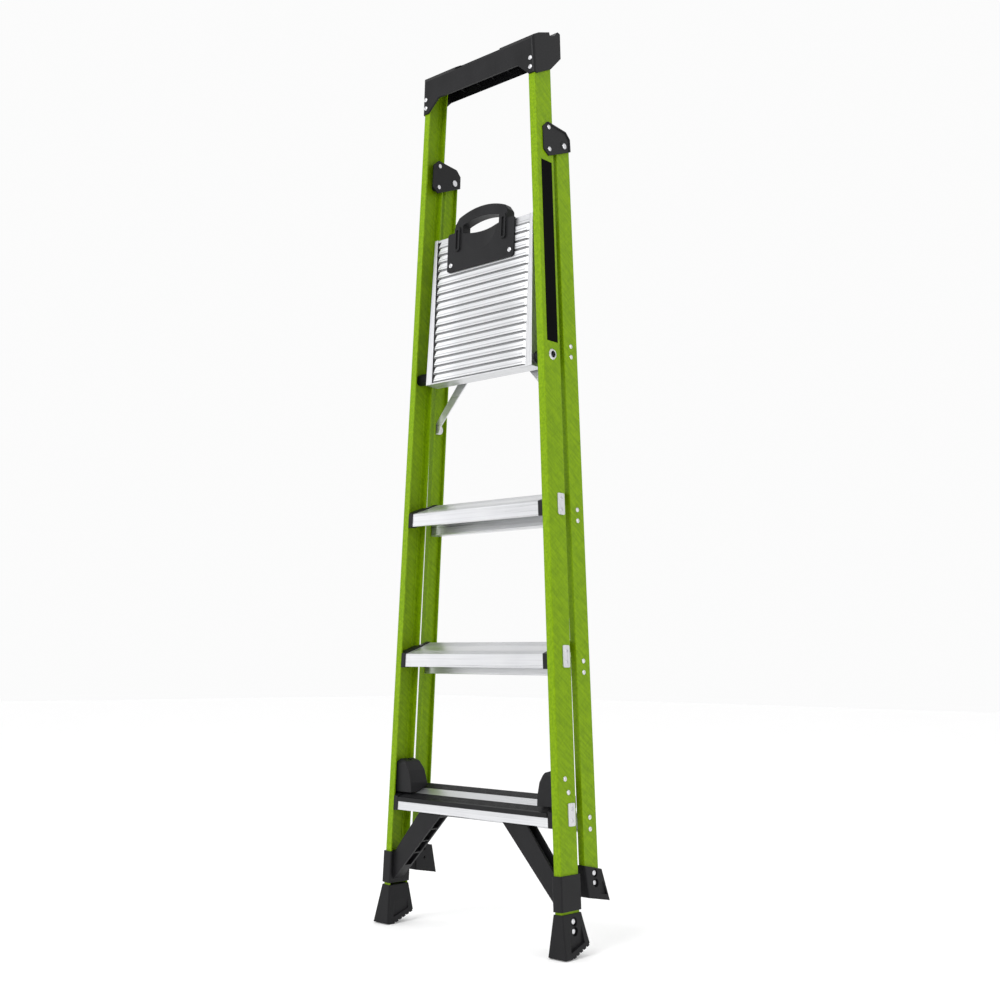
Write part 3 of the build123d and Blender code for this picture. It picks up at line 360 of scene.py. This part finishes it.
def ribbed_deck():
    """Closed loop (y, z) swept along x. The front of the loop is
    y = face + max(VALLEY s(d) + g(c) (1 - s(d)), END_SINK e(x)), with
    g(c) = SCORE_DEPTH exp(-((c - SCORE_AT) / SCORE_WIDTH)^2),
    where c is the height above the last valley middle, d = |c - PITCH / 2|, s rises from 0 to 1 as a
    smooth step over RIB_EASE past RIB_HALF, and e rises evenly over END_EASE past |x| = END_FROM.
    Above the last rib the front stays at valley depth. The back is flat with T webs."""
    ribs = int((DECK_HIGH - DECK_LOW) / PITCH)
    steps = np.array([0, 1.0, 1.9, 2.15, 2.4, 2.65, 2.9, 5.0, 6.4, 6.8, 7.2, 7.6, 8.0, 9.1, 10.4, 12.0,
                      15.3, 15.55, 15.8, 16.05, 16.3, 17.2])
    front_z = (DECK_LOW + PITCH * np.arange(ribs)[:, None] + steps).ravel()
    front_z = np.append(front_z, [DECK_LOW + PITCH * ribs, DECK_HIGH])
    phase = np.mod(front_z - DECK_LOW, PITCH)
    rise = np.clip((np.abs(phase - PITCH / 2) - RIB_HALF) / RIB_EASE, 0, 1)
    valley = rise * rise * (3 - 2 * rise)
    valley[-2:] = 1.0
    scored = SCORE_DEPTH * np.exp(-((phase - SCORE_AT) / SCORE_WIDTH) ** 2) * (1 - valley)
    back = [(DECK_HIGH, DECK_BACK)]
    for k in reversed(range(WEBS)):
        z = DECK_LOW + WEB_FIRST + WEB_SPACING * k
        back += [(z + 1.1, DECK_BACK), (z + 1.1, 11.4), (z + 4.5, 11.4), (z + 4.5, 13.4), (z - 4.5, 13.4),
                 (z - 4.5, 11.4), (z - 1.1, 11.4), (z - 1.1, DECK_BACK)]
    back += [(DECK_LOW, DECK_BACK)]
    back = np.array(back)
    half = np.array([HAND_X, HAND_X + 0.01, END_FROM, 131.0, 132.8, 134.6, DECK_HALF])
    x = np.concatenate([-half[::-1], [0], half])
    ends = np.clip((np.abs(x) - END_FROM) / END_EASE, 0, 1)[:, None]
    front_y = DECK_FACE + np.maximum(VALLEY * valley + scored, END_SINK * ends)
    y = np.concatenate([front_y, np.broadcast_to(DECK_FACE + back[:, 1], (len(x), len(back)))], axis=1)
    z = np.broadcast_to(np.concatenate([front_z, back[:, 0]]), y.shape)
    z = np.where(np.abs(x)[:, None] <= HAND_X, np.minimum(z, HAND_Z), z)
    grid = on_platform(np.broadcast_to(x[:, None], y.shape), y, z)
    count = grid.shape[1]
    i = np.arange(len(x) - 1)[:, None]
    j = np.arange(count)[None, :]
    after = (j + 1) % count
    quads = np.stack([i * count + j, i * count + after, (i + 1) * count + after, (i + 1) * count + j],
                     axis=-1).reshape(-1, 4)
    faces = quads.tolist()
    faces.append(list(range(count))[::-1])
    faces.append([(len(x) - 1) * count + k for k in range(count)])
    return grid.reshape(-1, 3), [tuple(f)[::-1] for f in faces]


def domes(heads):
    """Rivets, each a profile turned about its axis: r = R sin a,
    h = 0.5 + (H - 0.5) cos a - 0.3 exp(-(r / 1.2)^2) for a from 0.12 to pi / 2, closed by a flat face at
    the crown, then the shank and set tail. heads holds one row per rivet: centre, axis, R, H, shank
    radius, shank length, tail radius, tail thickness."""
    points, faces, turns = [], [], 28
    angle = np.linspace(0, 2 * np.pi, turns, endpoint=False)
    for centre, axis, radius, height, shank, length, tail, thick in heads:
        a = np.linspace(0.12, np.pi / 2, 10)
        r = np.concatenate([radius * np.sin(a), [radius, shank, shank, tail, tail]])
        h = np.concatenate([0.5 + (height - 0.5) * np.cos(a) - 0.3 * np.exp(-(radius * np.sin(a) / 1.2) ** 2),
                            [0.0, 0.0, -length, -length, -length - thick]])
        axis = np.array(axis, float) / np.linalg.norm(axis)
        side = np.cross(axis, (0.0, 0.31, 0.95))
        side /= np.linalg.norm(side)
        other = np.cross(axis, side)
        ring = np.cos(angle)[None, :, None] * side + np.sin(angle)[None, :, None] * other
        rings = np.array(centre) + r[:, None, None] * ring + h[:, None, None] * axis
        base = sum(len(p) for p in points)
        points.append(rings.reshape(-1, 3))
        rows = len(r)
        i, j = np.meshgrid(np.arange(rows - 1), np.arange(turns), indexing="ij")
        k = (j + 1) % turns
        quads = np.stack([i * turns + j, (i + 1) * turns + j, (i + 1) * turns + k, i * turns + k], axis=-1)
        faces += [tuple(q) for q in (quads.reshape(-1, 4) + base).tolist()]
        faces.append(tuple(base + n for n in range(turns)))
        faces.append(tuple(base + (rows - 1) * turns + n for n in range(turns))[::-1])
    return np.concatenate(points), faces


def rail_heads(places, outer, radius, height, length, tail, thick):
    """Rivet rows on both rails at (Y, Z) places, heads seated outer mm off the rail's outer face."""
    rows = []
    for side in (-1, 1):
        for y, z in places:
            centre = (side * (HALF_W - TAPER * z + outer / math.cos(SPLAY)), y, z)
            rows.append((centre, (side * math.cos(SPLAY), 0, math.sin(SPLAY)), radius, height, SHANK,
                         length, tail, thick))
    return rows


def rear_front_face(z):
    """Y of the rear rail's front face at height z."""
    return REAR_Y0 - REAR_LEAN * z


piece("deck", *ribbed_deck(), deck_metal(), "platform", "aluminium", "platform_deck")
bar_places = [(rear_front_face(z) + 21.4, z + dz) for z in BAR_Z for dz in (-11.3, 11.3)]
RAIL_RIVETS = [   # piece, node, body, (Y, Z) places, seat, R, H, shank length, tail radius, thickness
    ("rivets_hinge", "hinge_rivets", "front_section",
     [(-26.5, 1679.8), (-26.5, 1630.8)], 3.0, 5.2, 2.8, 23.1, 4.6, 1.8),
    ("rivets_housing", "corner_housing_rivets", "front_section",
     [(-41.2, 332.9), (-32.2, 306.7)], 0.0, 5.2, 2.8, 7.0, 4.6, 1.8),
    ("rivets_front_foot", "front_foot_rivets", "front_section",
     [(-34.5, 66.3), (-34.5, 48.3)], 2.5, 5.6, 2.6, 19.5, 2.61, 0.1),
    ("rivets_rear_foot", "rear_foot_rivets", "rear_section",
     [(35.8, 148.7), (35.8, 130.2)], 1.5, 5.4, 2.6, 15.0, 2.61, 0.1),
    ("rivets_bar", "rear_bar_rivets", "rear_section", bar_places, -1.0, 5.0, 2.8, 13.0, 3.8, 1.8),
]
for piece_name, node_name, body, places, *shape in RAIL_RIVETS:
    piece(piece_name, *domes(rail_heads(places, *shape)), rivet, body, "rivet_steel", node_name)
pin_x = HALF_W - TAPER * 1652.0 + 3.7
piece("pins_hinge", *domes([((side * pin_x, 22.8, 1652.0), (side, 0, 0), 6.4, 2.4, 5.0, 24.2, 7.0, 2.0)
                            for side in (-1, 1)]), rivet, "front_section", "rivet_steel", "hinge_pins")
piece("rivets_cap", *domes([((side * 157.3, -67.2 - 2.0 * (z - 1792.7) / 75.3, z), (0, -1, 0), 5.0, 2.6, 2.6,
                             7.4, 2.61, 0.1) for side in (-1, 1) for z in (1824.8, 1805.1)]),
      rivet, "front_section", "rivet_steel", "top_cap_rivets")
handle_heads = on_platform(np.array([-87.2, 87.2]), np.full(2, DECK_FACE - 4.5), np.full(2, 241.0))
handle_axis = (0, -math.cos(TILT), math.sin(TILT))
piece("rivets_handle", *domes([(tuple(c), handle_axis, 5.2, 2.0, SHANK, 4.5, 2.61, 0.1)
                               for c in handle_heads]),
      rivet, "platform", "rivet_steel", "carry_handle_rivets")
